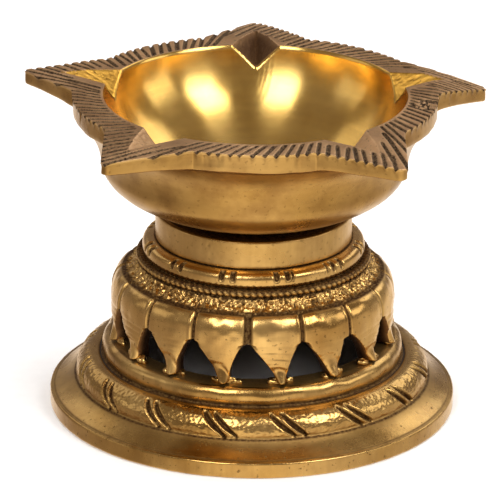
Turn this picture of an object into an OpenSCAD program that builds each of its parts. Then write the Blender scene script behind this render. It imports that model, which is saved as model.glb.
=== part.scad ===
// Five-wick brass oil lamp: a star-rimmed bowl bolted to a hollow pierced stand.
// Millimetres, +Z up, origin on the lamp's axis in the plane that the foot rests on.
// One spout points along +Y; the others follow every 72 degrees.

/* [Star rim] */
// Radius from the axis to each spout tip
tip_r = 53.8; // [52:0.1:56]
// Radius of the round part of the rim between the spouts
rim_r = 40; // [39.5:0.1:41]
// Half the angle between a spout's two flanks
spout_half_angle = 35; // [32:0.5:38]
// Rounding of a spout's tip in plan
tip_round = 1.5; // [1:0.1:2.5]
// Height of the rim's top face above the table
rim_top = 72; // [71.5:0.1:73]
// Height of the upright band round the rim
band_h = 4.3; // [3.5:0.1:5]
// How far a spout's top dips between the round rim and its tip
tip_droop = 1.8; // [0.5:0.1:2.2]

/* [Bowl] */
// Largest radius of the bowl's belly
belly_r = 33.7; // [33.2:0.1:34.4]
// Height of the belly's widest ring
belly_z = 57; // [56.5:0.1:57.5]
// How far the bowl's underside is below its widest ring
belly_drop = 12.6; // [12:0.1:12.8]
// Radius of the opening at the rim
opening_r = 33.3; // [32.8:0.1:33.8]
// Height of the bottom of the bowl's inside
floor_z = 48.2; // [48:0.1:49]

/* [Wick channels] */
// Depth of a channel where it leaves the bowl
channel_depth = 5; // [4:0.1:5.5]
// Radius at which a channel's keel meets the top face
channel_end_r = 46; // [44:0.1:47]

/* [Neck] */
// Outer radius of the neck collar
collar_r = 21.75; // [21.2:0.05:22.2]
// Height of the collar's top edge
collar_top = 45.4; // [45:0.1:45.6]
// Radius of the dished seat in the collar's top
seat_r = 16; // [15.6:0.1:16.4]
// Height of the seat's floor, where the bowl's boss stands
seat_z = 43.4; // [43.2:0.1:43.6]

/* [Fasteners] */
// Radius of the stud that holds the bowl
stud_r = 3; // [2.8:0.05:3.2]
// Width of the nut across its flats
nut_flats = 10; // [9:0.1:11]
// Height of the nut
nut_h = 5; // [4.5:0.1:5.2]
// Outer radius of the washer
washer_r = 8; // [7:0.1:9]
// Thickness of the washer
washer_h = 1.5; // [1.2:0.1:1.6]

/* [Petal crown] */
// Number of petals round the stand
petals = 16; // [14:1:18]
// Angle of the first petal's middle, from straight in front
petal_turn = 9.3; // [0:0.1:22]
// Largest radius of the petals
petal_r = 31.4; // [30.8:0.1:31.6]
// Width of a window at its foot
window_w = 8.6; // [7:0.1:9]

/* [Foot] */
// Radius of the foot's rim
foot_r = 45; // [44:0.1:46]
// Height of the upright band at the foot's rim
foot_band_h = 3.6; // [3:0.1:4]
// Height of the sill that the petals stand on
sill_z = 16; // [15.8:0.1:16.2]
// Radius of the sill
sill_r = 33.1; // [32.8:0.1:33.2]

/* [Hidden] */
$fn = 96;
spouts = 5;
spout_pitch = 360 / spouts;
first_spout = 90;
band_bottom = rim_top - band_h;
tip_bottom = rim_top - tip_droop - 2.7;
boss_r = 9;
stud_top = 46.8;
stud_end = 31.5;
web_h = 3.2;
web_z = seat_z - web_h;
crown_top = 39;
braze_h = 0.5;
petal_foot = sill_z + braze_h;
petal_mid_r = 29;
window_top = 25.6;
channel_start_r = opening_r - 3;
channel_rise = atan(channel_depth / (channel_end_r - opening_r));
bore_clearance = 0.06;
hole_clearance = 0.15;
curve_steps = 12;
crown_steps = 6;
over = 1;
brass = "goldenrod";
dark_brass = "darkgoldenrod";

// Points of an ellipse's arc between two angles
function arc(cx, cy, a, b, from, to, n) =
    [for (i = [0:n]) let (t = from + (to - from) * i / n) [cx + a * cos(t), cy + b * sin(t)]];

// Points of a curve that leaves p0 towards p1 and arrives at p2
function bend(p0, p1, p2, n) =
    [for (i = [0:n]) let (t = i / n) (1 - t) * (1 - t) * p0 + 2 * t * (1 - t) * p1 + t * t * p2];

module around(count, first) {
    for (i = [0:count - 1])
        rotate([0, 0, first + i * 360 / count])
            children();
}

// One spout in plan, pointing along +X, with straight flanks and a rounded tip
module spout_plan() {
    cx = tip_r - tip_round;
    flank_x = cx + tip_round * sin(spout_half_angle);
    flank_y = tip_round * cos(spout_half_angle);
    root_x = rim_r * 0.9;
    root_y = flank_y + (flank_x - root_x) * tan(spout_half_angle);
    reach = 90 - spout_half_angle;
    polygon(concat([[0, 0], [root_x, -root_y]],
                   arc(cx, 0, tip_round, tip_round, -reach, reach, curve_steps),
                   [[root_x, root_y]]));
}

// Narrow keel under a spout, pointing along +X
module keel_plan() {
    polygon([[0, -9], [rim_r - 4, -9], [tip_r - 5, -1.5], [tip_r - 3.5, 0],
             [tip_r - 5, 1.5], [rim_r - 4, 9], [0, 9]]);
}

// Outside of the bowl from its bottom up to the rim band
module bowl_outside() {
    rotate_extrude()
        polygon(concat([[0, rim_top - over]],
                       arc(0, belly_z, belly_r, belly_drop, -90, 0, 2 * curve_steps),
                       bend([belly_r, belly_z], [belly_r + 0.3, belly_z + 5.5],
                            [rim_r - 0.3, band_bottom], curve_steps),
                       [[rim_r - 0.3, rim_top - over]]));
}

// Star-shaped band: round rim and five spouts
module rim_band() {
    translate([0, 0, band_bottom])
        cylinder(r = rim_r, h = band_h);
    intersection() {
        translate([0, 0, band_bottom - 2])
            linear_extrude(band_h + 2)
                around(spouts, first_spout) spout_plan();
        rotate_extrude()
            polygon([[rim_r - 8, rim_top + over], [rim_r - 8, band_bottom], [rim_r, band_bottom],
                     [tip_r + over, tip_bottom], [tip_r + over, rim_top + over]]);
    }
}

// Keels that carry the spouts, sloping back to the belly
module spout_keels() {
    intersection() {
        translate([0, 0, belly_z])
            linear_extrude(rim_top - over - belly_z)
                around(spouts, first_spout) keel_plan();
        rotate_extrude()
            polygon([[belly_r - 2, belly_z + 3], [belly_r + 0.4, belly_z + 4],
                     [tip_r - 2, tip_bottom + 0.2], [tip_r - 2, rim_top - 3], [belly_r - 2, rim_top - 3]]);
    }
}

// Rounded oil well, half an ellipsoid below the opening with a small flat at its bottom
module bowl_inside() {
    flat_angle = 85;
    well_depth = (rim_top - floor_z) / sin(flat_angle);
    rotate_extrude()
        polygon(concat([[0, rim_top + over], [0, floor_z]],
                       arc(0, rim_top, opening_r, well_depth, -flat_angle, 0, 2 * curve_steps),
                       [[opening_r, rim_top + over]]));
}

// One V-shaped wick channel, pointing along +X and rising outwards
module wick_channel() {
    start_z = rim_top - channel_depth - (opening_r - channel_start_r) * tan(channel_rise);
    translate([channel_start_r, 0, start_z])
        rotate([0, -channel_rise, 0])
            rotate([90, 0, 90])
                linear_extrude(30)
                    polygon([[0, 0], [12, 12], [-12, 12]]);
}

// Ring above the spouts' sloping top faces
module droop_cut() {
    rotate_extrude()
        polygon([[rim_r, rim_top], [tip_r + over, rim_top - tip_droop * (tip_r + over - rim_r) / (tip_r - rim_r)],
                 [tip_r + over, rim_top + over], [rim_r, rim_top + over]]);
}

module oil_bowl() {
    color(brass)
    difference() {
        union() {
            bowl_outside();
            rim_band();
            spout_keels();
            translate([0, 0, seat_z])
                cylinder(r = boss_r, h = 3);
        }
        bowl_inside();
        around(spouts, first_spout) wick_channel();
        droop_cut();
        translate([0, 0, seat_z - over])
            cylinder(r = stud_r, h = stud_top - seat_z + over);
    }
}

module bowl_stud() {
    color(dark_brass)
    union() {
        translate([0, 0, stud_end + 0.6])
            cylinder(r = stud_r, h = stud_top - stud_end - 0.6);
        translate([0, 0, stud_end])
            cylinder(r1 = stud_r - 0.6, r2 = stud_r, h = 0.6);
    }
}

// Turned ring with a web across it for the stud and a dished seat for the bowl
module neck_collar() {
    edge = 0.5;
    skirt_r = 17.5;
    color(brass)
    rotate_extrude()
        polygon([[stud_r + hole_clearance, web_z], [skirt_r, web_z], [skirt_r, crown_top],
                 [collar_r - edge, crown_top], [collar_r, crown_top + edge],
                 [collar_r, collar_top - edge], [collar_r - edge, collar_top],
                 [seat_r, collar_top], [seat_r, seat_z], [stud_r + hole_clearance, seat_z]]);
}

module stud_washer() {
    color(dark_brass)
    translate([0, 0, web_z - washer_h])
        difference() {
            cylinder(r = washer_r, h = washer_h);
            translate([0, 0, -over])
                cylinder(r = stud_r + hole_clearance, h = washer_h + 2 * over);
        }
}

module stud_nut() {
    color(dark_brass)
    translate([0, 0, web_z - washer_h - nut_h])
        difference() {
            cylinder(r = nut_flats / sqrt(3), h = nut_h, $fn = 6);
            translate([0, 0, -over])
                cylinder(r = stud_r + bore_clearance, h = nut_h + 2 * over);
        }
}

// Pierced shell: bead, rope ring, stippled band, then the petals
module crown_shell() {
    bead = arc(22.2, 37.2, 2.1, 1.7, 75, -50, crown_steps);
    rope = arc(24.6, 34.8, 1.35, 1, 60, -70, crown_steps);
    outside = concat([[16.5, crown_top], [22.2, crown_top]], bead, rope,
                     bend([25.6, 33.8], [26.6, 31.8], [28.7, 31.3], 3),
                     bend([28.9, 31.2], [petal_r - 0.3, 30.2], [petal_r, 26.4], crown_steps),
                     bend([petal_r, 26.2], [petal_r + 0.1, 21], [petal_r - 0.3, petal_foot], crown_steps));
    inside = concat([[petal_mid_r - 1.4, petal_foot]],
                    bend([27.9, 19], [petal_r - 2, 25], [25.4, 30.6], crown_steps),
                    [[22.8, 33.6], [21, 36], [16.5, 36.4]]);
    rotate_extrude()
        polygon(concat(outside, inside));
}

// Window between two petals, cut outwards along +X: wide at its foot, pointed at its top
module window() {
    half = window_w / 2;
    rise = window_top - petal_foot;
    translate([petal_r - 8, 0, petal_foot])
        rotate([90, 0, 90])
            linear_extrude(16)
                polygon([[-half, -over], [half, -over], [half * 0.82, rise * 0.22],
                         [half * 0.55, rise * 0.55], [half * 0.22, rise * 0.88], [0, rise],
                         [-half * 0.22, rise * 0.88], [-half * 0.55, rise * 0.55],
                         [-half * 0.82, rise * 0.22]]);
}

module petal_crown() {
    half_pitch = 180 / petals;
    first = -90 + petal_turn + half_pitch;
    color(brass)
    difference() {
        crown_shell();
        around(petals, first) window();
    }
}

// Pads of filler metal that join the petals' feet to the sill
module braze_spots() {
    color(dark_brass)
    around(petals, -90 + petal_turn)
        translate([petal_mid_r - 0.2, 0, sill_z])
            cylinder(r = 1.1, h = braze_h, $fn = 24);
}

module foot_ring() {
    edge = 0.4;
    torus = arc(34.7, 7.8, 4.5, 4.1, -12, 95, curve_steps);
    outside = concat([[foot_r - edge, 0], [foot_r, edge], [foot_r, foot_band_h - edge],
                      [foot_r - edge, foot_band_h]],
                     bend([foot_r - edge - 0.2, foot_band_h + 0.1], [41.5, 4.9], [39.3, 6.7], 6),
                     torus,
                     [[32.8, 12.1]],
                     arc(sill_r - 1.2, 14, 1.2, 2, -50, 80, curve_steps));
    inside = [[27.4, sill_z], [27.4, 13.2], [30.2, 9.8], [34.6, 7.2], [37, 4.6], [41, 2], [41.6, 0]];
    color(brass)
    rotate_extrude()
        polygon(concat(outside, inside));
}

oil_bowl();
bowl_stud();
neck_collar();
stud_washer();
stud_nut();
petal_crown();
braze_spots();
foot_ring();
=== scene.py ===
import math

import bpy
import numpy as np
from mathutils import Matrix, Vector


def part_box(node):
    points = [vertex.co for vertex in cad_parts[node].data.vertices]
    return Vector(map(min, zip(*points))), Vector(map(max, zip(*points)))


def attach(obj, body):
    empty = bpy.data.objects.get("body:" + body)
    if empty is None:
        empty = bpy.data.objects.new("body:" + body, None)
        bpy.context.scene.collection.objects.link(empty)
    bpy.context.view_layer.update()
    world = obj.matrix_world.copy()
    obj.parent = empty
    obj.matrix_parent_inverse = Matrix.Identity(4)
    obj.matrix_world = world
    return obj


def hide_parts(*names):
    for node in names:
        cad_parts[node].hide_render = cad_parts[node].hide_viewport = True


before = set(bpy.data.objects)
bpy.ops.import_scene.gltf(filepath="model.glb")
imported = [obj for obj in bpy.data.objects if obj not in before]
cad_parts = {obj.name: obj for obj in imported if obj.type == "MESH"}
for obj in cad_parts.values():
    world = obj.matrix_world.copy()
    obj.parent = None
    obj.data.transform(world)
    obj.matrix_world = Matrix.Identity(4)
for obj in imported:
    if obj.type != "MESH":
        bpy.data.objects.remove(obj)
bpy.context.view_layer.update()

MM = 0.001
TAU = 2 * math.pi
rng = np.random.default_rng(16)


# ---------------------------------------------------------------- sizes from the frame, in mm

def box_mm(node):
    low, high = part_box(node)
    return np.array(low) / MM, np.array(high) / MM


foot_high = box_mm("foot_ring")[1]
crown_low, crown_high = box_mm("petal_crown")
collar_high = box_mm("neck_collar")[1]
bowl_low, bowl_high = box_mm("oil_bowl")
stud_low, stud_high = box_mm("bowl_stud")
washer_low, washer_high = box_mm("stud_washer")
nut_low, nut_high = box_mm("stud_nut")

SPOUTS = 5
SPOUT_PITCH = TAU / SPOUTS
FIRST_SPOUT = TAU / 4
TIP_R = bowl_high[1]
RIM_TOP = bowl_high[2]
BOSS_Z = bowl_low[2]
RIM_R = 40.0
# a spout's side, measured from the spout's own direction
FLANK = math.radians(35)
TIP_ROUND = 1.5
BAND_H = 4.3
TIP_BAND_H = 2.7
# how far each spout's tip droops below the rim, from the back one round to the left
TIP_DROOPS = (1.5, 1.1, 1.0, 1.5, 4.0)
OPENING_R = 33.3
BELLY_R = 33.7
BELLY_Z = RIM_TOP - 15
BELLY_DROP = 12.6
FLOOR_Z = 48.2
BOSS_R = 9.0
CHANNEL_DEPTH = 5.0
CHANNEL_END_R = 46.0
# the pitted casting flaw on the rim's top, in front of the right-hand spout
FLAW = (37.2, -6.0)
FLAW_R = 3.3
# the chiselled cuts' spacing, and their slant from the radius
CUT_PITCH = 1.78
CUT_SLANT = math.radians(-27)

PETALS = 16
PETAL_PITCH = TAU / PETALS
FIRST_PETAL = math.radians(-90 + 9.3)
PETAL_R = 31.4
PETAL_FOOT = crown_low[2]
CROWN_TOP = crown_high[2]
WINDOW_TOP = 25.6
STIPPLE_FOOT = 31.2
STIPPLE_TOP = 34.15
ROPE_Z = 34.8
ROPE_TURNS = 108
BEAD_R = 22.2
BEAD_PAIRS = 12
CROWN_HOLE_R = 16.5

FOOT_R = foot_high[0]
BASE_TOP = 3.65
TORUS_R = 34.7
SILL_Z = foot_high[2]
SILL_R = 33.1
GOUGE_PAIRS = 16
# the foot's inside, as (radius, height) from the top down
HOLLOW = ((27.4, 13.2), (30.2, 9.8), (34.6, 7.2), (37, 4.6), (41, 2), (41.6, 0.0))
COLLAR_R = collar_high[0]
COLLAR_TOP = collar_high[2]
WEB_Z = washer_high[2]
STUD_R = stud_high[0]
HOLE_CLEARANCE = 0.15
BORE_CLEARANCE = 0.06


# ---------------------------------------------------------------- curves and noise

def arc(cx, cy, a, b, start, end, n):
    t = np.radians(np.linspace(start, end, n))
    return np.stack([cx + a * np.cos(t), cy + b * np.sin(t)], axis=1)


def boxy_arc(cx, cy, a, b, start, end, n):
    """An arc with a flatter face and fuller corners than an ellipse's."""
    unit = arc(0, 0, 1, 1, start, end, n)
    return np.sign(unit) * np.abs(unit) ** 0.72 * [a, b] + [cx, cy]


def bend(p0, p1, p2, n):
    t = np.linspace(0, 1, n)[:, None]
    return (1 - t) ** 2 * np.array(p0) + 2 * t * (1 - t) * np.array(p1) + t ** 2 * np.array(p2)


def refine(points, step, closed=True):
    """Adds points along each straight stretch so that none is longer than step."""
    points = np.asarray(points, float)
    ends = np.roll(points, -1, axis=0) if closed else points[1:]
    out = []
    for p, q in zip(points, ends):
        n = max(1, math.ceil(float(np.linalg.norm(q - p)) / step))
        out.append(p + (q - p) * np.linspace(0, 1, n, endpoint=False)[:, None])
    if not closed:
        out.append(points[-1:])
    return np.concatenate(out)


def smooth(x):
    x = np.clip(x, 0, 1)
    return x * x * (3 - 2 * x)


def noise_field(cells_u, cells_v):
    """A function of (u, v) with smooth random values from -1 to 1; u wraps at 1, v runs from 0 to 1."""
    table = rng.uniform(-1, 1, (cells_u, cells_v + 2))

    def value(u, v):
        a = np.mod(u, 1) * cells_u
        b = np.clip(v, 0, 1) * cells_v
        i, j = np.floor(a).astype(int), np.floor(b).astype(int)
        fa, fb = smooth(a - i), smooth(b - j)
        i0, i1 = i % cells_u, (i + 1) % cells_u
        low = table[i0, j] * (1 - fa) + table[i1, j] * fa
        high = table[i0, j + 1] * (1 - fa) + table[i1, j + 1] * fa
        return low * (1 - fb) + high * fb

    return value


def noise(u, v, cells_u, cells_v):
    return noise_field(cells_u, cells_v)(u, v)


def wrapped(angle):
    return np.mod(angle + math.pi, TAU) - math.pi


# ---------------------------------------------------------------- meshes

def make_piece(name, points, quads, triangles=None, layers=None):
    """A smooth-shaded mesh object from millimetre points; layers are values stored on its points."""
    triangles = np.zeros((0, 3), int) if triangles is None else triangles
    mesh = bpy.data.meshes.new(name)
    mesh.vertices.add(len(points))
    mesh.vertices.foreach_set("co", (np.asarray(points) * MM).ravel())
    corners = np.concatenate([quads.ravel(), triangles.ravel()])
    mesh.loops.add(len(corners))
    mesh.loops.foreach_set("vertex_index", corners)
    sizes = np.concatenate([np.full(len(quads), 4), np.full(len(triangles), 3)])
    starts = np.concatenate([[0], np.cumsum(sizes)[:-1]])
    mesh.polygons.add(len(sizes))
    mesh.polygons.foreach_set("loop_start", starts)
    mesh.polygons.foreach_set("use_smooth", np.ones(len(sizes), bool))
    mesh.update(calc_edges=True)
    mesh.validate()
    for layer, values in (layers or {}).items():
        store = mesh.attributes.new(layer, "FLOAT", "POINT")
        store.data.foreach_set("value", np.asarray(values, float).ravel())
    piece = bpy.data.objects.new(name, mesh)
    bpy.context.scene.collection.objects.link(piece)
    return piece


def ring_quads(around, rows, closed):
    """Quads of a grid of rows of points, each row running right round the axis."""
    i, j = np.meshgrid(np.arange(around), np.arange(rows if closed else rows - 1), indexing="ij")
    nxt = (i + 1) % around
    up = (j + 1) % rows
    corners = [i * rows + j, nxt * rows + j, nxt * rows + up, i * rows + up]
    return np.stack(corners, axis=-1).reshape(-1, 4)


def fan(around, rows, row, centre, flip):
    """Triangles that close one row of a ring grid with a centre point."""
    i = np.arange(around)
    a, b = i * rows + row, (i + 1) % around * rows + row
    if flip:
        a, b = b, a
    return np.stack([a, b, np.full(around, centre)], axis=1)


def profile_normals(profile, closed=True):
    if closed:
        along = np.roll(profile, -1, axis=0) - np.roll(profile, 1, axis=0)
    else:
        along = np.gradient(profile, axis=0)
    along /= np.maximum(np.linalg.norm(along, axis=1, keepdims=True), 1e-9)
    return np.stack([along[:, 1], -along[:, 0]], axis=1)


def about_axis(theta, radius, z):
    return np.stack([radius * np.cos(theta), radius * np.sin(theta), z], axis=-1)


def lathe(name, profile, around, carve, lined=False):
    """Turns a closed (radius, height) profile about the axis; the profile's outside is on its right.

    carve(theta, r, z) gives how far the surface is pushed out along its normal, and how dark it is.
    With lined, the faces that look towards the axis take the piece's second material.
    """
    theta = np.arange(around)[:, None] * TAU / around
    normals = profile_normals(profile)
    r, z = profile[None, :, 0], profile[None, :, 1]
    push, grime_and_shade = carve(theta, r + 0 * theta, z + 0 * theta)
    points = about_axis(theta, r + push * normals[None, :, 0], z + push * normals[None, :, 1])
    piece = make_piece(name, points.reshape(-1, 3), ring_quads(around, len(profile), True),
                       layers={"grime_and_shade": np.clip(grime_and_shade, 0, 1)})
    if lined:
        inward = (normals[:, 0] < -0.3).astype(int)
        piece.data.polygons.foreach_set("material_index", np.tile(inward, around))
    return piece


def crevice(z, level, width):
    return np.exp(-((z - level) / width) ** 2)


# ---------------------------------------------------------------- materials

def new_material(name):
    material = bpy.data.materials.new(name)
    material.use_nodes = True
    return material, material.node_tree.nodes, material.node_tree.links


def noise_node(nodes, links, scale, detail, stretch=None, roughness=0.5):
    texture = nodes.new("ShaderNodeTexNoise")
    texture.inputs["Scale"].default_value = scale
    texture.inputs["Detail"].default_value = detail
    texture.inputs["Roughness"].default_value = roughness
    place = nodes.new("ShaderNodeTexCoord")
    source = place.outputs["Object"]
    if stretch:
        mapping = nodes.new("ShaderNodeMapping")
        mapping.inputs["Scale"].default_value = stretch
        links.new(source, mapping.inputs["Vector"])
        source = mapping.outputs["Vector"]
    links.new(source, texture.inputs["Vector"])
    return texture.outputs["Fac"]


def ramp(nodes, links, source, stops):
    node = nodes.new("ShaderNodeValToRGB")
    while len(node.color_ramp.elements) < len(stops):
        node.color_ramp.elements.new(0.5)
    for element, (place, colour) in zip(node.color_ramp.elements, stops):
        element.position = place
        element.color = (*colour, 1) if len(colour) == 3 else colour
    links.new(source, node.inputs["Fac"])
    return node.outputs["Color"]


def math_node(nodes, links, operation, *values):
    node = nodes.new("ShaderNodeMath")
    node.operation = operation
    node.use_clamp = True
    for socket, value in zip(node.inputs, values):
        if isinstance(value, (int, float)):
            socket.default_value = value
        else:
            links.new(value, socket)
    return node.outputs["Value"]


def mix_colours(nodes, links, factor, a, b, blend="MIX"):
    node = nodes.new("ShaderNodeMix")
    node.data_type = "RGBA"
    node.blend_type = blend
    if isinstance(factor, (int, float)):
        node.inputs["Factor"].default_value = factor
    else:
        links.new(factor, node.inputs["Factor"])
    # a mix node keeps a set of sockets for each data type: the colours are inputs 6 and 7 and output 2
    for socket, value in ((node.inputs[6], a), (node.inputs[7], b)):
        if isinstance(value, tuple):
            socket.default_value = (*value, 1)
        else:
            links.new(value, socket)
    return node.outputs[2]


# how the brush marks' noise is stretched: upright strokes, or rings round the axis
UPRIGHT = (1, 1, 0.06)
RINGS = (0.05, 0.05, 1)
# the patina's roughness, as a grey
DULL = (0.7, 0.7, 0.7)


def brass(name, colours, roughness, streaks=0.25, grain=0.3, pits=0.25, stained=0.5, turned=0.0,
          brush=UPRIGHT):
    """Brass darkened towards its patina where the mesh's darkness layer says: real patina and dirt, and
    painted shade in crevices and hollows.

    colours are the two that the metal wanders between, and the patina's. roughness is a range too.
    streaks, grain, pits and stained say how strong the brush marks, the fine grain, the small pits
    and the soft stains are. turned is how far a lathe's fine rings stretch the highlights up and down.
    """
    light, deep, patina = colours
    material, nodes, links = new_material(name)
    shader = nodes["Principled BSDF"]
    shader.inputs["Metallic"].default_value = 1.0
    if turned:
        shader.inputs["Anisotropic"].default_value = turned
        shader.inputs["Anisotropic Rotation"].default_value = 0.25
        tangent = nodes.new("ShaderNodeTangent")
        tangent.direction_type = "RADIAL"
        tangent.axis = "Z"
        links.new(tangent.outputs["Tangent"], shader.inputs["Tangent"])

    clouds = noise_node(nodes, links, 60, 4)
    brushed = noise_node(nodes, links, 900, 3, stretch=brush)
    stains = noise_node(nodes, links, 150, 6, roughness=0.6)
    fine = noise_node(nodes, links, 1800, 5, roughness=0.65)
    specks = noise_node(nodes, links, 1300, 1, roughness=0.4)

    tone = ramp(nodes, links, clouds, [(0.3, deep), (0.7, light)])
    brush_tone = ramp(nodes, links, brushed, [(0.3, (0.80, 0.78, 0.76)), (0.7, (1, 1, 1))])
    metal = mix_colours(nodes, links, streaks, tone, brush_tone, "MULTIPLY")
    stain_tone = ramp(nodes, links, stains, [(0.42, (1, 1, 1)), (0.66, (0.66, 0.60, 0.58))])
    metal = mix_colours(nodes, links, stained, metal, stain_tone, "MULTIPLY")
    speck_mask = ramp(nodes, links, specks, [(0.27, (1, 1, 1)), (0.33, (0, 0, 0))])
    speck_mask = math_node(nodes, links, "MULTIPLY", speck_mask, pits)

    # the mesh's darkness layer: patina and dirt, and painted shade in crevices and hollows
    grime_and_shade = nodes.new("ShaderNodeAttribute")
    grime_and_shade.attribute_name = "grime_and_shade"
    ragged = ramp(nodes, links, fine, [(0.35, (0.65, 0.65, 0.65)), (0.6, (1, 1, 1))])
    strong = math_node(nodes, links, "MULTIPLY", grime_and_shade.outputs["Fac"], 1.5)
    dark = math_node(nodes, links, "MULTIPLY", strong, ragged)
    dark = math_node(nodes, links, "MAXIMUM", dark, speck_mask)
    links.new(mix_colours(nodes, links, dark, metal, patina), shader.inputs["Base Color"])

    low, high = roughness
    worn = ramp(nodes, links, clouds, [(0.3, (low, low, low)), (0.75, (high, high, high))])
    links.new(mix_colours(nodes, links, dark, worn, DULL), shader.inputs["Roughness"])
    shine = ramp(nodes, links, dark, [(0.3, (1, 1, 1)), (1.0, (0.85, 0.85, 0.85))])
    links.new(shine, shader.inputs["Metallic"])

    height = mix_colours(nodes, links, 0.5, brushed, fine)
    bump = nodes.new("ShaderNodeBump")
    bump.inputs["Strength"].default_value = grain
    bump.inputs["Distance"].default_value = 0.00006
    links.new(height, bump.inputs["Height"])
    links.new(bump.outputs["Normal"], shader.inputs["Normal"])
    return material


def inside_material():
    """Nearly black painted shade for the hollow insides of the crown and the foot."""
    material, nodes, links = new_material("painted_shade_inside")
    shader = nodes["Principled BSDF"]
    shader.inputs["Roughness"].default_value = 0.85
    shader.inputs["Specular IOR Level"].default_value = 0.15
    crust = noise_node(nodes, links, 500, 4)
    links.new(ramp(nodes, links, crust, [(0.3, (0.020, 0.017, 0.016)), (0.75, (0.055, 0.042, 0.032))]),
              shader.inputs["Base Color"])
    return material


def floor_material():
    material, nodes, links = new_material("pale_floor")
    shader = nodes["Principled BSDF"]
    shader.inputs["Roughness"].default_value = 0.9
    paper = noise_node(nodes, links, 300, 3)
    links.new(ramp(nodes, links, paper, [(0.3, (0.90, 0.90, 0.90)), (0.7, (0.93, 0.93, 0.93))]),
              shader.inputs["Base Color"])
    return material


PATINA = (0.055, 0.020, 0.005)
CUT_PATINA = (0.018, 0.008, 0.004)
INSIDE_COLOURS = ((0.89, 0.60, 0.185), (0.77, 0.455, 0.10), PATINA)
BELLY_COLOURS = ((0.60, 0.37, 0.12), (0.44, 0.245, 0.06), PATINA)
COLLAR_COLOURS = ((0.74, 0.48, 0.18), (0.56, 0.34, 0.10), PATINA)
CROWN_COLOURS = ((0.87, 0.57, 0.205), (0.55, 0.31, 0.085), PATINA)
FOOT_COLOURS = ((0.74, 0.475, 0.165), (0.49, 0.275, 0.07), PATINA)
RIM_COLOURS = ((0.95, 0.625, 0.34), (0.72, 0.45, 0.225), CUT_PATINA)
BROWN_COLOURS = ((0.38, 0.22, 0.10), (0.24, 0.125, 0.05), PATINA)
GOLD_COLOURS = ((0.85, 0.50, 0.10), (0.60, 0.32, 0.05), PATINA)
FASTENER_COLOURS = ((0.80, 0.60, 0.30), (0.70, 0.50, 0.22), PATINA)

polished = brass("polished_brass", INSIDE_COLOURS, (0.18, 0.28), streaks=0.5, grain=0.1, pits=0.02,
                 stained=0.3, turned=0.8, brush=RINGS)
satin = brass("satin_brass", BELLY_COLOURS, (0.24, 0.38), streaks=0.5, grain=0.4, stained=0.8,
              brush=RINGS)
bright_satin = brass("bright_satin_brass", COLLAR_COLOURS, (0.24, 0.38), streaks=0.5, grain=0.45)
chased_cast = brass("chased_brass", CROWN_COLOURS, (0.17, 0.33), streaks=0.45, grain=0.5, pits=0.4)
cast = brass("cast_brass", FOOT_COLOURS, (0.17, 0.33), streaks=0.45, grain=0.5, pits=0.5)
filed = brass("filed_brass", RIM_COLOURS, (0.40, 0.56), streaks=0.4, grain=0.6, pits=0.5)
brown_cast = brass("brown_cast_brass", BROWN_COLOURS, (0.45, 0.6), grain=0.9, pits=0.6)
gold_cast = brass("gold_cast_brass", GOLD_COLOURS, (0.3, 0.45), grain=1.0, pits=0.7)
machined = brass("machined_brass", FASTENER_COLOURS, (0.25, 0.35), streaks=0.3)
painted_shade_inside = inside_material()


def dress(piece, body, slot, node, *materials):
    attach(piece, body)
    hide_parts(node)
    for material in materials:
        piece.data.materials.append(material)


# ---------------------------------------------------------------- oil bowl

# the bowl's materials by number, as they are passed to dress()
POLISHED, FILED, SATIN, BROWN, GOLD, GLINT_EDGE = range(6)


def spout_outline(step):
    """Half-open run of points round one spout's share of the rim, the spout pointing along +X."""
    centre = TIP_R - TIP_ROUND
    flank_end = np.array([centre + TIP_ROUND * math.sin(FLANK), TIP_ROUND * math.cos(FLANK)])
    inward = np.array([-math.cos(FLANK), math.sin(FLANK)])
    along = flank_end @ inward
    reach = -along - math.sqrt(along ** 2 - flank_end @ flank_end + RIM_R ** 2)
    root = flank_end + reach * inward
    root_angle = math.degrees(math.atan2(root[1], root[0]))
    half_pitch = 180 / SPOUTS
    tip = arc(centre, 0, TIP_ROUND, TIP_ROUND, -90 + math.degrees(FLANK), 90 - math.degrees(FLANK), 15)
    low_arc = arc(0, 0, RIM_R, RIM_R, -half_pitch, -root_angle, 60)
    high_arc = low_arc[::-1] * [1, -1]
    return refine(np.concatenate([low_arc, tip, high_arc]), step, closed=False)[:-1]


def spin(points, angle):
    c, s = math.cos(angle), math.sin(angle)
    x, y = points[..., 0], points[..., 1]
    return np.stack([x * c - y * s, x * s + y * c], axis=-1)


def rim_outline(step):
    one = spout_outline(step)
    return np.concatenate([spin(one, FIRST_SPOUT + i * SPOUT_PITCH) for i in range(SPOUTS)])


def crowded(x, y, cuts, room):
    """Whether a point is nearer than room to a cut that runs past it."""
    for cx, cy, direction, half_length, *_ in cuts:
        along = (x - cx) * math.cos(direction) + (y - cy) * math.sin(direction)
        off = (x - cx) * math.sin(direction) - (y - cy) * math.cos(direction)
        if abs(off) < room and abs(along) < half_length + room:
            return True
    return False


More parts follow.
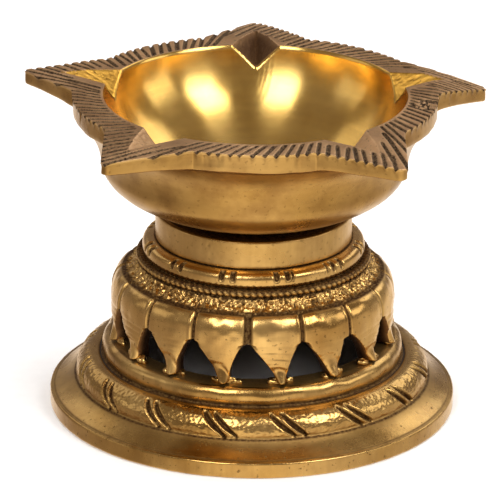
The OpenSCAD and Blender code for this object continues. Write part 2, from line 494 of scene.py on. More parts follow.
def place_cuts(outline):
    """The chiselled cuts, each as (x, y, direction, half-length, depth, half-width, inner fade).

    They are walked round the land's middle, and then nearer the channels, where the land is wide.
    """
    outer = np.linalg.norm(outline, axis=1)
    cuts = []
    for inset, least_r, room, longest in ((2.8, 0, 0, 11.0), (6.8, RIM_R + 1.2, 0.8 * CUT_PITCH, 5.0)):
        middle = outline * (1 - inset / outer[:, None])
        steps = np.roll(middle, -1, axis=0) - middle
        azimuth = np.arctan2(middle[:, 1], middle[:, 0])
        heading = np.arctan2(steps[:, 1], steps[:, 0])
        walked = np.cumsum(np.linalg.norm(steps, axis=1) * np.abs(np.sin(azimuth + CUT_SLANT - heading)))
        due = 0.0
        for i, distance in enumerate(walked):
            if distance < due or outer[i] < least_r or crowded(*middle[i], cuts, room):
                continue
            due = distance + CUT_PITCH * rng.uniform(0.88, 1.12)
            direction = azimuth[i] + CUT_SLANT + math.radians(rng.uniform(-4, 4))
            across = abs(math.sin(direction - heading[i]))
            cuts.append((*middle[i], direction, min(longest, 4.2 / max(across, 0.3)),
                         rng.uniform(0.50, 0.75), rng.uniform(0.48, 0.64), rng.uniform(-0.8, 0.9)))
    return cuts


def cut_depth(x, y, cuts):
    """Depth of the cuts at each point of the land."""
    depth = np.zeros_like(x)
    for cx, cy, direction, half_length, deep, half_width, inner_fade in cuts:
        ux, uy = math.cos(direction), math.sin(direction)
        along = (x - cx) * ux + (y - cy) * uy
        off = np.abs((x - cx) * uy - (y - cy) * ux)
        near = (off < half_width) & (np.abs(along) < half_length + 2)
        fade = smooth((along[near] + half_length) / 2.2 + 0.4 - 0.4 * inner_fade)
        end = smooth((half_length + 1.5 - along[near]) / 1.0)
        depth[near] = np.maximum(depth[near], deep * (1 - off[near] / half_width) * fade * end)
    return depth


def channel_floor(x, y):
    """Height of the nearest wick channel's walls at a point."""
    azimuth = np.arctan2(y, x)
    spout = FIRST_SPOUT + np.round((azimuth - FIRST_SPOUT) / SPOUT_PITCH) * SPOUT_PITCH
    out = x * np.cos(spout) + y * np.sin(spout)
    aside = np.abs(-x * np.sin(spout) + y * np.cos(spout))
    keel = RIM_TOP - CHANNEL_DEPTH + CHANNEL_DEPTH * (out - OPENING_R) / (CHANNEL_END_R - OPENING_R)
    return np.where(out > 0, keel + np.maximum(aside - 0.25, 0), RIM_TOP)


def nearest_spout(azimuth):
    return np.round((azimuth - FIRST_SPOUT) / SPOUT_PITCH).astype(int) % SPOUTS


def top_height(r, azimuth):
    droop = np.array(TIP_DROOPS)[nearest_spout(azimuth)]
    return RIM_TOP - droop * np.clip((r - RIM_R) / (TIP_R - RIM_R), 0, 1) ** 1.2


def build_bowl():
    outline = rim_outline(0.25)
    around = len(outline)
    azimuth = np.arctan2(outline[:, 1], outline[:, 0])
    turn = azimuth / TAU
    outer = np.linalg.norm(outline, axis=1)
    unit = outline / outer[:, None]
    cuts = place_cuts(outline)
    rows, darkness, part = [], [], []

    def add(r, z, dark, kind):
        rows.append(np.stack([unit[:, 0] * r, unit[:, 1] * r, z + 0 * r], axis=1))
        darkness.append(dark + 0 * r)
        part.append(kind)

    # inside, from the floor's middle up to the opening
    inside = arc(0, RIM_TOP, OPENING_R, RIM_TOP - FLOOR_Z, -89, 0, 34)
    lip = np.minimum(top_height(OPENING_R + 0 * outer, azimuth), channel_floor(*(unit * OPENING_R).T))
    ripple, wobble = noise_field(22, 3), noise_field(46, 9)
    for z in inside[:, 1]:
        share = smooth((z - FLOOR_Z - 6) / (RIM_TOP - FLOOR_Z - 6))
        height = z - share * (RIM_TOP - lip)
        r = np.interp(height, inside[:, 1], inside[:, 0])
        level = (z - FLOOR_Z) / (RIM_TOP - FLOOR_Z)
        uneven = 0.06 * ripple(turn, level) + 0.018 * wobble(turn, level)
        add(r + uneven * smooth(3 * level), height, 0.0, POLISHED)

    # the land across the top; each channel has its own finish
    channel_kind = np.array([BROWN, GOLD, FILED, FILED, GOLD])[nearest_spout(azimuth)]
    channel_dark = np.array([0.5, 0.15, 0.1, 0.1, 0.15])[nearest_spout(azimuth)]
    waves, grain, cavities = noise_field(60, 4), noise_field(700, 30), noise_field(300, 11)
    for share in np.linspace(0, 1, 46)[1:]:
        r = OPENING_R + (outer - OPENING_R) * share
        x, y = unit[:, 0] * r, unit[:, 1] * r
        flat = top_height(r, azimuth)
        wall = channel_floor(x, y)
        in_channel = wall < flat
        depth = cut_depth(x, y, cuts)
        depth = depth * smooth((wall - flat + 0.3) / 0.8) * smooth((share - 0.03) / 0.1)
        rough = grain(turn, share)
        uneven = (0.08 * waves(turn, share) + 0.025 * rough) * smooth(share * 4)
        z = np.where(in_channel, wall + 0.10 * rough, flat - depth + uneven)
        flaw = np.exp(-(np.hypot(x - FLAW[0], y - FLAW[1]) / FLAW_R) ** 4)
        holes = np.clip(cavities(turn, share) * 3 + 0.3, 0, 1) * flaw
        z = z - np.where(in_channel, 0, 0.5 * holes)
        depth = depth * (1 - 0.7 * flaw) + 0.6 * holes
        shade = channel_dark * smooth((flat - wall) / 1.5)
        dark = np.where(in_channel, shade, smooth((depth - 0.03) / 0.17))
        add(r, np.minimum(z, RIM_TOP), dark, np.where(in_channel, channel_kind, FILED))

    # the upright band
    edge = rows[-1][:, 2]
    tip_top = top_height(outer, azimuth)
    reach = np.clip((outer - RIM_R) / (TIP_R - RIM_R), 0, 1)
    bottom = tip_top - BAND_H + (BAND_H - TIP_BAND_H) * reach ** 0.7
    for height, waves_around in ((0.25, 34), (0.12, 110)):
        bottom = bottom + height * noise(turn, 0.5 + 0 * turn, waves_around, 1)
    band_wave, chips = noise_field(70, 2), noise_field(150, 1)
    filed_nick = np.clip((tip_top - edge) / 0.5, 0, 1)
    chipped = 0.35 * np.clip(chips(turn, 0) * 2 - 1.1, 0, 1)
    # the band's top two rows and its bottom row take the brighter collar brass: a painted glint along
    # the band's edges
    for share, inset, kind in ((0.05, 0.10, GLINT_EDGE), (0.13, 0.22, GLINT_EDGE), (0.4, 0.22, SATIN),
                               (0.7, 0.2, SATIN), (0.93, 0.22, SATIN), (1.0, 0.5, GLINT_EDGE)):
        height = edge + (bottom - edge) * share - chipped * (share < 0.2)
        wave = 0.1 * band_wave(turn, share) - chipped * (share < 0.5)
        add(outer - inset + wave, height, 0.5 * filed_nick * max(0, 0.3 - share) / 0.3, kind)

    # the underside, sweeping in to the belly and down to the boss, with a painted shadow just under the
    # band
    start_r, start_z = outer - 0.8, bottom - 0.05
    root_r, root_z = np.minimum(outer - 0.9, RIM_R - 1.4), RIM_TOP - BAND_H - 0.35 - 0.9 * reach ** 0.6
    for t in np.linspace(0, 1, 8)[1:]:
        # painted shadow under the band's lower edge, fading down the underside
        dark = 0.7 * math.exp(-3 * t)
        add(start_r + (root_r - start_r) * t, start_z + (root_z - start_z) * smooth(t), dark, SATIN)
    mid_r, mid_z = BELLY_R + 0.4, BELLY_Z + 5.6
    for t in np.linspace(0, 1, 15)[1:]:
        r = (1 - t) ** 2 * root_r + 2 * t * (1 - t) * mid_r + t ** 2 * BELLY_R
        z = (1 - t) ** 2 * root_z + 2 * t * (1 - t) * mid_z + t ** 2 * BELLY_Z
        add(r, z, 0.0, SATIN)
    belly_wave = noise_field(40, 5)
    for r, z in arc(0, BELLY_Z, BELLY_R, BELLY_DROP, 0, -75, 26)[1:]:
        add(r + 0.07 * belly_wave(turn, (BELLY_Z - z) / BELLY_DROP), z + 0 * turn, 0.0, SATIN)
    boss = ((BOSS_R, BOSS_Z + 0.9), (BOSS_R, BOSS_Z + 0.2),
            (BOSS_R - 0.2, BOSS_Z), (STUD_R - 0.2, BOSS_Z))
    for r, z in boss:
        add(r + 0 * outer, z, 0.3, SATIN)

    grid = np.stack(rows, axis=1)
    count = len(rows)
    centre_top, centre_bottom = around * count, around * count + 1
    points = np.concatenate([grid.reshape(-1, 3), [[0, 0, FLOOR_Z], [0, 0, BOSS_Z]]])
    caps = np.concatenate([fan(around, count, 0, centre_top, True),
                           fan(around, count, count - 1, centre_bottom, False)])
    grime_and_shade = np.concatenate([np.stack(darkness, axis=1).ravel(), [0, 0.3]])
    quads = ring_quads(around, count, False)
    piece = make_piece("oil_bowl_star", points, quads, caps, {"grime_and_shade": grime_and_shade})

    kinds = np.stack([k + 0 * outer.astype(int) for k in part], axis=1)
    face_kind = np.concatenate([kinds[:, 1:].ravel(), np.full(around, POLISHED), np.full(around, SATIN)])
    dress(piece, "bowl", "polished_brass", "oil_bowl", polished, filed, satin, brown_cast, gold_cast,
          bright_satin)
    piece.data.polygons.foreach_set("material_index", face_kind.astype(int))


# ---------------------------------------------------------------- petal crown

def crown_rows():
    """The crown's closed profile from the outer foot over the top to the inner foot, and its levels.

    Outer and inner rows below the windows' tops are at the same heights, so that walls can join them.
    """
    shoulder_z, throat = 26.2, [25.6, 33.7]
    outer_curve = bend([PETAL_R, shoulder_z], [PETAL_R + 0.3, 20.5], [PETAL_R, PETAL_FOOT], 60)[::-1]
    inner_curve = bend([27.9, PETAL_FOOT], [28.8, 22], [28.4, 27], 60)
    levels = np.linspace(PETAL_FOOT, WINDOW_TOP, 40)
    outer = np.stack([np.interp(levels, outer_curve[:, 1], outer_curve[:, 0]), levels], axis=1)
    inner = np.stack([np.interp(levels, inner_curve[:, 1], inner_curve[:, 0]), levels], axis=1)
    top = [outer[-1:],
           bend([PETAL_R, shoulder_z], [PETAL_R - 0.3, 30.2], [28.9, STIPPLE_FOOT], 14),
           [[28.3, 31.25]], bend([28.2, 31.4], [26.4, 31.9], throat, 8),
           arc(24.6, ROPE_Z, 1.35, 0.95, -70, 60, 14),
           boxy_arc(BEAD_R, 37.0, 2.35, 1.95, -52, 80, 26),
           [[BEAD_R, CROWN_TOP], [CROWN_HOLE_R, CROWN_TOP], [CROWN_HOLE_R, 36.4]],
           [[21, 36], [22.8, 33.6], [25.4, 30.6]],
           inner[-1:]]
    over_top = refine(np.concatenate(top), 0.24, closed=False)[1:-1]
    return np.concatenate([outer, over_top, inner[::-1]]), len(levels)


def rope_cut(theta, z):
    """Slanting notches round the rope ring, from 0 to 1."""
    wave = 0.5 - 0.5 * np.cos(ROPE_TURNS * theta + 1.6 * (z - 35))
    return wave ** 2 * crevice(z, ROPE_Z, 0.95)


def bead_nicks(theta, z):
    """Pairs of small V nicks in the bead's upper edge, from 0 to 1."""
    nick = np.zeros_like(theta + z)
    for i in range(BEAD_PAIRS):
        middle = math.radians(-90 + 17.5) + i * TAU / BEAD_PAIRS + rng.uniform(-0.04, 0.04)
        for side in (-1, 1):
            off = np.abs(wrapped(theta - middle - side * 0.052)) * 23.5
            reach = smooth((z - 36.7) / 1.3)
            nick = np.maximum(nick, np.clip(1 - off / 0.75, 0, 1) * reach * (z < CROWN_TOP - 0.05))
    return nick


def window_sides(z, apex_z, lower):
    """How much of half a pitch each window takes on its two sides, at every row."""
    cut = np.zeros((PETALS, 2, len(z)))
    for window in range(PETALS):
        depth = np.clip((apex_z[window] - z) / (apex_z[window] - PETAL_FOOT), 0, 1)
        for side in (0, 1):
            arch = rng.uniform(0.56, 0.68)
            rounded = arch * depth ** rng.uniform(0.34, 0.50)
            widening = (rng.uniform(0.79, 0.85) - arch) * smooth(1.2 * depth)
            cut[window, side] = (rounded + widening) * lower
    return cut


def chisel_petal(v, zz, on_petal):
    """How far one petal's face is pushed out by the hollow low on it and the tool marks above that."""
    break_z, tilt = rng.uniform(21.0, 22.8), rng.uniform(-1.8, 0.1)
    hollow = np.clip((break_z + tilt * v - 1.2 * v ** 2 - zz) / (break_z - PETAL_FOOT), 0, 1)
    push = 1.3 * hollow ** 2 - 0.6 * smooth(2.2 * hollow)
    mark_z = zz + rng.uniform(-0.5, 0.5) * v + 0.4 * v ** 2
    ripple = np.clip(np.sin(TAU * mark_z / rng.uniform(1.0, 1.5)), 0, 1) ** 2
    marks = ripple * smooth((zz - 19) / 2) * smooth((26 - zz) / 2)
    return np.where(on_petal, push - rng.uniform(0.02, 0.1) * marks, 0)


def build_crown():
    profile, levels = crown_rows()
    rows, columns = len(profile), 48
    normals = profile_normals(profile, closed=False)
    half = PETAL_PITCH / 2
    z = profile[:, 1]
    row = np.arange(rows)
    lower = (row < levels) | (row >= rows - levels)
    outside = row < int(np.argmax(profile[:, 0] < CROWN_HOLE_R + 0.1))

    apex = rng.uniform(WINDOW_TOP - 1.7, WINDOW_TOP - 0.1, PETALS)
    level_z = z[:levels]
    apex_row = np.array([int(np.argmin(np.abs(level_z - a))) for a in apex])
    apex_z = level_z[apex_row]
    side_cut = window_sides(z, apex_z, lower) * half

    # v runs from -1 to 1 across each petal
    v = np.linspace(-1, 1, columns + 1)[None, :]
    gap_widths = rng.uniform(0.055, 0.10, PETALS)
    gap_widths[-1] = 0.2
    dents = noise_field(96, 10)
    band_coarse, band_fine = noise_field(330, 7), noise_field(700, 14)
    points = np.zeros((PETALS, rows, columns + 1, 3))
    grime_and_shade = np.zeros((PETALS, rows, columns + 1))
    for p in range(PETALS):
        middle = FIRST_PETAL + p * PETAL_PITCH
        right = half - side_cut[p, 0]
        left = half - side_cut[p - 1, 1]
        lean = rng.uniform(0.02, 0.06) * np.clip((24 - z) / 7.5, 0, 1) * lower
        theta = middle + lean[:, None] + np.where(v > 0, v * right[:, None], v * left[:, None])
        zz = z[:, None] + 0 * theta
        u = theta / TAU
        on_petal = (zz < STIPPLE_FOOT + 0.1) & outside[:, None]
        narrow = np.clip((24 - zz) / 8, 0, 1)
        bulge = 0.42 * (1 - np.abs(v) ** 2.4) - 0.30
        push = np.where(on_petal, bulge * (0.6 + 0.6 * narrow), 0)

        # grooves that part the petals, with a raised lip on one side
        gap = np.where(v > 0, gap_widths[p], gap_widths[p - 1])
        groove = smooth((1 - (1 - np.abs(v)) / gap) * 1.3) * smooth((zz - apex_z[p] + 1.5) / 2)
        lip = np.exp(-((v - 0.86) / 0.05) ** 2) * smooth((zz - 24) / 3)
        push = push - np.where(on_petal, 0.75 * groove - 0.16 * lip, 0)
        push = push + chisel_petal(v, zz, on_petal)
        push = push + np.where(on_petal, 0.08 * dents(u, (zz - 16) / 16), 0)

        # stippled band, rope ring and bead
        chased = smooth((zz - STIPPLE_FOOT) / 0.3) * smooth((STIPPLE_TOP - zz) / 0.3) * outside[:, None]
        stipple = band_coarse(u, (zz - 31) / 3.4) + 0.6 * band_fine(u, (zz - 31) / 3.4)
        rope = rope_cut(theta, zz) * outside[:, None]
        nicks = bead_nicks(theta, zz) * outside[:, None]
        push = push + 0.36 * chased * stipple - 0.42 * rope - 0.9 * nicks
        points[p] = about_axis(theta, profile[:, :1] + push * normals[:, :1], zz + push * normals[:, 1:])

        # patina and painted shade in the grooves between petals, the crevices by the stippled band and
        # the rope, the seam under the collar, the rope's notches and the nicks; patina in the stipple's
        # pits; all painted shade inside
        dark = np.where(on_petal, np.clip(1.2 * groove, 0, 1), 0)
        dark = dark + 0.9 * crevice(zz, STIPPLE_FOOT + 0.1, 0.25)
        dark = dark + crevice(zz, 33.9, 0.3) + crevice(zz, 35.45, 0.3)
        seam = smooth((COLLAR_R + 0.45 - profile[:, :1]) / 0.5) * (zz > CROWN_TOP - 0.5)
        dark = dark + seam + 0.8 * rope ** 1.5 + 0.9 * smooth(nicks * 2)
        dark = dark + chased * np.clip(-0.9 * stipple, 0, 0.9)
        grime_and_shade[p] = np.where(outside[:, None], dark, 1)

    # neighbouring petals share their edge points except beside the open windows
    index = np.arange(PETALS * rows * (columns + 1)).reshape(PETALS, rows, columns + 1)
    for p in range(PETALS):
        open_rows = np.arange(levels) < apex_row[p]
        closed = np.ones(rows, bool)
        closed[:levels] = ~open_rows
        closed[rows - levels:] = ~open_rows[::-1]
        index[p, closed, columns] = index[(p + 1) % PETALS, closed, 0]

    # the skin, the petals' feet, and the walls that join outside and inside round each window
    skin = [index[:, :-1, :-1], index[:, :-1, 1:], index[:, 1:, 1:], index[:, 1:, :-1]]
    feet = [index[:, -1, :-1], index[:, -1, 1:], index[:, 0, 1:], index[:, 0, :-1]]
    quads = [np.stack(corners, axis=-1).reshape(-1, 4) for corners in (skin, feet)]
    for p in range(PETALS):
        j = np.arange(apex_row[p])
        mirror = rows - 1 - j
        right, left = index[p, :, columns], index[(p + 1) % PETALS, :, 0]
        quads.append(np.stack([right[j], right[mirror], right[mirror - 1], right[j + 1]], axis=1))
        quads.append(np.stack([left[j], left[j + 1], left[mirror - 1], left[mirror]], axis=1))
    quads = np.concatenate(quads)

    used, packed = np.unique(quads, return_inverse=True)
    piece = make_piece("petal_crown_pierced", points.reshape(-1, 3)[used], packed.reshape(quads.shape),
                       layers={"grime_and_shade": np.clip(grime_and_shade.ravel()[used], 0, 1)})
    dress(piece, "stand", "aged_brass", "petal_crown", chased_cast, painted_shade_inside, brown_cast)
    # the crown's inside faces and the petals' feet take the nearly black painted shade
    lining = np.tile(np.repeat(~outside[:-1], columns), PETALS).astype(int)
    base = np.full(PETALS * columns, 1)
    walls = np.full(len(quads) - len(lining) - len(base), 2)
    piece.data.polygons.foreach_set("material_index", np.concatenate([lining, base, walls]))


# ---------------------------------------------------------------- foot, collar and braze

def foot_profile():
    low_edge, top_edge = 0.5, 0.45
    torus = arc(TORUS_R, 7.8, 4.45, 4.1, -12, 95, 40)
    outside = [[[FOOT_R - low_edge, 0]],
               arc(FOOT_R - low_edge, low_edge, low_edge, low_edge, -80, 0, 5),
               arc(FOOT_R - top_edge, BASE_TOP - 0.5, top_edge, top_edge, 0, 90, 6),
               bend([FOOT_R - 0.7, BASE_TOP], [41.5, 4.8], [39.4, 6.6], 20),
               torus, [[33.7, 11.6]],
               bend([33.25, 11.9], [SILL_R + 1.0, 15.4], [SILL_R - 1.5, SILL_Z - 0.02], 26)]
    return refine(np.concatenate([*outside, [[HOLLOW[0][0], SILL_Z - 0.02]], HOLLOW]), 0.42)


def carve_gouges(theta, z, middles):
    """The slanting pairs of gouges across the torus, from 0 to 1."""
    gouge = np.zeros_like(theta + z)
    for middle in middles:
        skew = rng.uniform(0.12, 0.15)
        for side in (-1, 1):
            t = (z - 9.3) / rng.uniform(2.35, 2.6)
            line = middle + side * 0.033 - skew * 0.5 * t
            half_width = 0.90 * np.sqrt(np.clip(1 - t ** 2, 0, 1)) + 1e-6
            off = np.abs(wrapped(theta - line)) * 37
            gouge = np.maximum(gouge, np.clip(1.5 - 1.5 * off / half_width, 0, 1) * (np.abs(t) < 1))
    return gouge


def build_foot():
    middles = math.radians(-90 + 13) + np.arange(GOUGE_PAIRS) * TAU / GOUGE_PAIRS
    middles = middles + rng.uniform(-0.02, 0.02, GOUGE_PAIRS)

    def carve(theta, r, z):
        u = theta / TAU
        outside = (r > 31) & (z > np.interp(r, *np.transpose(HOLLOW), right=-1) + 0.3)
        on_torus = outside & (z > 6.5) & (z < 11.6) & (r < 39.4) & (r > 33)
        gouge = carve_gouges(theta, z, middles) * on_torus
        hammer = noise(u, z / 16, 150, 14)
        grains = noise(u, z / 16, 620, 60)
        push = np.where(on_torus, 0.06 * hammer + 0.065 * grains, 0) - 1.1 * gouge
        sill = outside & (z > 12)
        push = push + np.where(sill, 0.13 * noise(u, z / 16, 64, 6) - 0.1, 0)
        band = outside & (z < 4)
        push = push + np.where(band, 0.03 * noise(u, z / 4, 160, 2) - 0.03, 0)
        push = np.minimum(push, 0.10)

        # dirt and painted shade in the gouges, along the steps and on the sill's top under the petals;
        # all painted shade inside the hollow
        dark = smooth((gouge - 0.08) * 2.4)
        behind_torus = np.exp(-((r - 33.65) / 0.45) ** 2 - ((z - 11.8) / 0.6) ** 2)
        behind_torus = behind_torus + 0.3 * smooth((35 - r) / 1.5) * crevice(z, 12, 0.6)
        below_torus = 0.8 * crevice(z, 6.6, 0.18) + 0.2 * crevice(z, 6.4, 0.8)
        dark = dark + outside * (behind_torus + below_torus + 0.5 * crevice(z, BASE_TOP + 0.1, 0.10))
        sill_top = z > SILL_Z - 0.1
        dark = dark + 0.35 * sill_top + 0.2 * sill * smooth(noise(u, z / 16, 90, 8) * 1.4)
        return push, np.where(outside | sill_top, dark, 1)

    # the faces that look towards the axis take the nearly black painted shade
    piece = lathe("foot_ring_stepped", foot_profile(), 960, carve, lined=True)
    dress(piece, "stand", "aged_brass", "foot_ring", cast, painted_shade_inside)


def build_collar():
    hole_r = STUD_R + HOLE_CLEARANCE
    skirt_r, seat_r, seat_z = 17.5, 16.0, BOSS_Z
    edge = 0.45
    profile = np.concatenate([
        [[hole_r, WEB_Z], [skirt_r, WEB_Z], [skirt_r, CROWN_TOP + 0.02]],
        arc(COLLAR_R - edge, CROWN_TOP + edge, edge, edge, -88, 0, 5),
        arc(COLLAR_R - edge, COLLAR_TOP - edge, edge, edge, 0, 90, 5),
        arc(seat_r + edge, COLLAR_TOP - edge, edge, edge, 92, 180, 5),
        [[seat_r, seat_z], [hole_r, seat_z]]])

    def carve(theta, r, z):
        u, level = theta / TAU, (z - 39) / 7
        wall = r > COLLAR_R - 0.6
        waves = 0.05 * noise(u, level, 36, 2) + 0.02 * noise(u, level, 200, 14)
        pit = np.clip(noise(u, level, 170, 9) - 0.86, 0, 1)
        push = np.where(wall, waves - 0.05 - 0.9 * pit, 0)
        # patina and painted shade where the collar meets the crown and the bowl, dark pits; the inside
        # and the seat under the bowl all painted shade
        dark = wall * (0.9 * crevice(z, CROWN_TOP, 0.3) + 0.5 * crevice(z, COLLAR_TOP, 0.12) + 4.0 * pit)
        return push, np.where(r < COLLAR_R - 0.9, 0.9, dark)

    piece = lathe("neck_collar_turned", refine(profile, 0.45), 480, carve)
    dress(piece, "stand", "polished_brass", "neck_collar", bright_satin)


def lump(seed_angle, width, height, depth):
    """One irregular blob of filler metal, as a closed grid of points round its own upright axis."""
    around, rows = 20, 11
    lat = np.linspace(-math.pi / 2 + 0.12, math.pi / 2 - 0.12, rows)[None, :]
    lon = np.arange(around)[:, None] * TAU / around
    bumps = 1 + 0.20 * np.sin(2 * lon + seed_angle) * np.cos(lat)
    bumps = bumps + 0.14 * np.sin(3 * lat + 2.3 * seed_angle + lon)
    return np.stack([0.5 * depth * bumps * np.cos(lat) * np.cos(lon),
                     0.5 * width * bumps * np.cos(lat) * np.sin(lon),
                     0.5 * height * bumps * np.sin(lat) + 0 * lon], axis=-1)


def build_braze():
    """Filler metal run round each petal's foot: three to five lumps melted together at each."""
    points, quads, triangles, start = [], [], [], 0
    for p in range(PETALS):
        angle = FIRST_PETAL + p * PETAL_PITCH
        for _ in range(rng.integers(3, 6)):
            seed_angle, width = rng.uniform(0, TAU), rng.uniform(1.5, 3.2)
            blob = lump(seed_angle, width, rng.uniform(1.2, 2.2), rng.uniform(1.2, 2.0))
            around, rows = blob.shape[:2]
            here = angle + 0.04 + rng.uniform(-0.085, 0.085)
            r = rng.uniform(29.2, 30.6)
            flat = spin(blob[..., :2].reshape(-1, 2) + [r, 0], here)
            z = blob[..., 2].reshape(-1, 1) + SILL_Z + rng.uniform(0.05, 0.45)
            axis = spin(np.array([r, 0.0]), here)
            points += [np.concatenate([flat, z], axis=1), [[*axis, z.min()], [*axis, z.max()]]]
            bottom = around * rows
            quads.append(ring_quads(around, rows, False) + start)
            triangles.append(fan(around, rows, 0, bottom, True) + start)
            triangles.append(fan(around, rows, rows - 1, bottom + 1, False) + start)
            start += bottom + 2
    points = np.concatenate(points)
    grime_and_shade = np.clip(0.55 * (SILL_Z + 0.5 - points[:, 2]), 0, 0.7)
    piece = make_piece("braze_lumps", points, np.concatenate(quads), np.concatenate(triangles),
                       {"grime_and_shade": grime_and_shade})
    dress(piece, "stand", "aged_brass", "braze_spots", cast)


# ---------------------------------------------------------------- stud, washer and nut

THREAD_PITCH = 1.0
THREAD_DEPTH = 0.42


def thread(theta, z):
    """Depth of a right-hand thread, from 0 at its crests to 1 at its roots."""
    phase = np.mod(z / THREAD_PITCH - theta / TAU, 1)
    return np.clip(1.25 * np.abs(2 * phase - 1) - 0.12, 0, 1)


def build_stud():
    low, high = stud_low[2], stud_high[2]
    axis_r = 0.15
    profile = refine([[axis_r, low + 0.02], [STUD_R - 0.55, low + 0.02], [STUD_R, low + 0.65],
                      [STUD_R, high], [axis_r, high]], 0.11)

    def carve(theta, r, z):
        on_side = (r > STUD_R - 0.5) & (z < high - 0.3)
        depth = thread(theta, z) * on_side * smooth((z - low) / 0.6)
        return -THREAD_DEPTH * depth, 0.55 * depth

    piece = lathe("bowl_stud_threaded", profile, 96, carve)
    dress(piece, "bowl", "plain_brass", "bowl_stud", machined)


def bevelled_ring(hole, rim, low, high, hole_edge, rim_inset, rim_edge):
    """The closed profile of a flat ring with its four corners cut off."""
    below = [[hole, low + hole_edge], [hole + hole_edge, low],
             [rim - rim_inset, low], [rim, low + rim_edge]]
    return below + [[r, low + high - z] for r, z in reversed(below)]


def build_washer():
    edge = 0.2
    hole, rim = STUD_R + HOLE_CLEARANCE, washer_high[0]
    ring = bevelled_ring(hole, rim, washer_low[2], washer_high[2], edge, edge, edge)

    def carve(theta, r, z):
        scuffs = noise(theta / TAU, r / 9, 90, 12)
        return -0.03 * np.abs(scuffs), 0.25 * smooth(scuffs)

    piece = lathe("stud_washer_flat", refine(ring, 0.3), 160, carve)
    dress(piece, "washer", "plain_brass", "stud_washer", machined)


def build_nut():
    low, high = nut_low[2], nut_high[2]
    apothem = nut_high[1]
    corner = apothem / math.cos(math.pi / 6)
    hole = STUD_R + BORE_CLEARANCE
    around = 360
    profile = refine(bevelled_ring(hole, corner, low, high, 0.3, 0.9, 0.5), 0.2)
    theta = np.arange(around)[:, None] * TAU / around
    r, z = profile[None, :, 0] + 0 * theta, profile[None, :, 1] + 0 * theta
    flats = apothem / np.cos(np.mod(theta + math.pi / 6, math.pi / 3) - math.pi / 6)
    bore = r < hole + 0.05
    radius = np.minimum(r, flats) + np.where(bore, 0.2 * (1 - thread(theta, z)), 0)
    grime_and_shade = np.where(bore, 0.5, 0.15 * smooth(noise(theta / TAU, (z - low) / 5, 60, 6)))
    piece = make_piece("stud_nut_hex", about_axis(theta, radius, z).reshape(-1, 3),
                       ring_quads(around, len(profile), True), layers={"grime_and_shade": grime_and_shade})
    dress(piece, "nut", "plain_brass", "stud_nut", machined)


# ---------------------------------------------------------------- stage

def build_floor():
    """A plain floor that the brass doesn't mirror, and a disc of it that the hollow foot does."""
    reach = 3.0
    corners = np.array([[-1, -1, 0], [1, -1, 0], [1, 1, 0], [-1, 1, 0]]) * reach / MM
    floor = make_piece("floor", corners, np.array([[0, 1, 2, 3]]))
    material = floor_material()
    floor.data.materials.append(material)
    floor.visible_glossy = False

    around, disc_r, lift = 64, 38, 0.05
    theta = np.arange(around) * TAU / around
    half_way = around // 2 - 1
    strips = np.array([[i, i + 1, around - 2 - i, around - 1 - i] for i in range(half_way)])
    shaded = make_piece("floor_in_foot", about_axis(theta, disc_r, np.full(around, lift)), strips)
    shaded.data.materials.append(material)


def softbox(name, place, aim, width, height, power, reflected=True):
    data = bpy.data.lights.new(name, "AREA")
    data.shape = "RECTANGLE"
    data.size, data.size_y = width, height
    data.energy = power
    lamp = bpy.data.objects.new(name, data)
    bpy.context.scene.collection.objects.link(lamp)
    lamp.visible_glossy = reflected
    lamp.location = place
    lamp.rotation_euler = (Vector(aim) - Vector(place)).to_track_quat("-Z", "Y").to_euler()


def around_lamp(azimuth, elevation, distance):
    """A place seen from the lamp; azimuth 0 is straight in front, towards -Y, and grows to the right."""
    azimuth, elevation = math.radians(azimuth), math.radians(elevation)
    level = distance * math.cos(elevation)
    return level * math.sin(azimuth), -level * math.cos(azimuth), 0.05 + distance * math.sin(elevation)


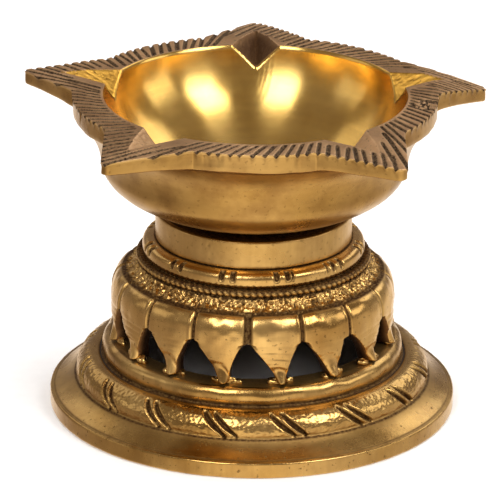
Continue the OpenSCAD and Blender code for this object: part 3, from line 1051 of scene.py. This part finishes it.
def build_lights():
    aim = (0, 0, 0.05)
    # azimuth, elevation and distance, then width, height and power
    boxes = {"key_box": (-25, 44, 1.2, 0.42, 0.7, 6.2),
             "right_box": (50, 44, 1.2, 0.46, 0.7, 7),
             "rear_right_box": (138, 34, 1.2, 0.8, 0.5, 1.9),
             "rear_left_box": (-138, 34, 1.2, 0.8, 0.5, 0.8),
             "right_side_box": (85, 19, 1.3, 0.6, 0.5, 1.7),
             "left_side_box": (-85, 19, 1.3, 0.6, 0.5, 0.65)}
    for name, (azimuth, elevation, distance, width, height, power) in boxes.items():
        softbox(name, around_lamp(azimuth, elevation, distance), aim, width, height, power)
    softbox("top_box", (0, 0.15, 1.3), (0, 0.1, 0), 0.9, 0.7, 13, reflected=False)


def build_surroundings():
    """The room that the metal mirrors: dim above and at the sides, pale below in front."""
    world = bpy.data.worlds.new("studio")
    world.use_nodes = True
    nodes, links = world.node_tree.nodes, world.node_tree.links
    direction = nodes.new("ShaderNodeTexCoord")
    parts = nodes.new("ShaderNodeSeparateXYZ")
    links.new(direction.outputs["Generated"], parts.inputs["Vector"])
    across = math_node(nodes, links, "MULTIPLY_ADD", parts.outputs["X"], 0.5, 0.5)
    below = ramp(nodes, links, across, [(0.08, (0.27, 0.225, 0.20)), (0.40, (0.90, 0.82, 0.72)),
                                        (0.62, (0.90, 0.82, 0.72)), (0.95, (0.50, 0.45, 0.41))])
    raised = math_node(nodes, links, "ADD", parts.outputs["Z"], 0.12)
    rising = math_node(nodes, links, "MULTIPLY", raised, 6)
    room = mix_colours(nodes, links, rising, below, (0.17, 0.145, 0.13))
    links.new(room, nodes["Background"].inputs["Color"])
    nodes["Background"].inputs["Strength"].default_value = 1.5
    bpy.context.scene.world = world


def build_camera():
    distance, elevation, roll, aim_height = 0.981, math.radians(21.1), math.radians(0.7), 0.035
    data = bpy.data.cameras.new("camera")
    data.sensor_width = 36
    data.lens = 319.5
    data.shift_x, data.shift_y = -0.0068, 0.0027
    camera = bpy.data.objects.new("camera", data)
    bpy.context.scene.collection.objects.link(camera)
    place = Vector((0, -distance * math.cos(elevation), aim_height + distance * math.sin(elevation)))
    tilt = Matrix.Rotation(math.pi / 2 - elevation, 4, "X") @ Matrix.Rotation(roll, 4, "Z")
    camera.matrix_world = Matrix.Translation(place) @ tilt
    bpy.context.scene.camera = camera


build_bowl()
build_crown()
build_foot()
build_collar()
build_braze()
build_stud()
build_washer()
build_nut()
build_floor()
build_lights()
build_surroundings()
build_camera()
bpy.context.scene.view_settings.view_transform = "Standard"
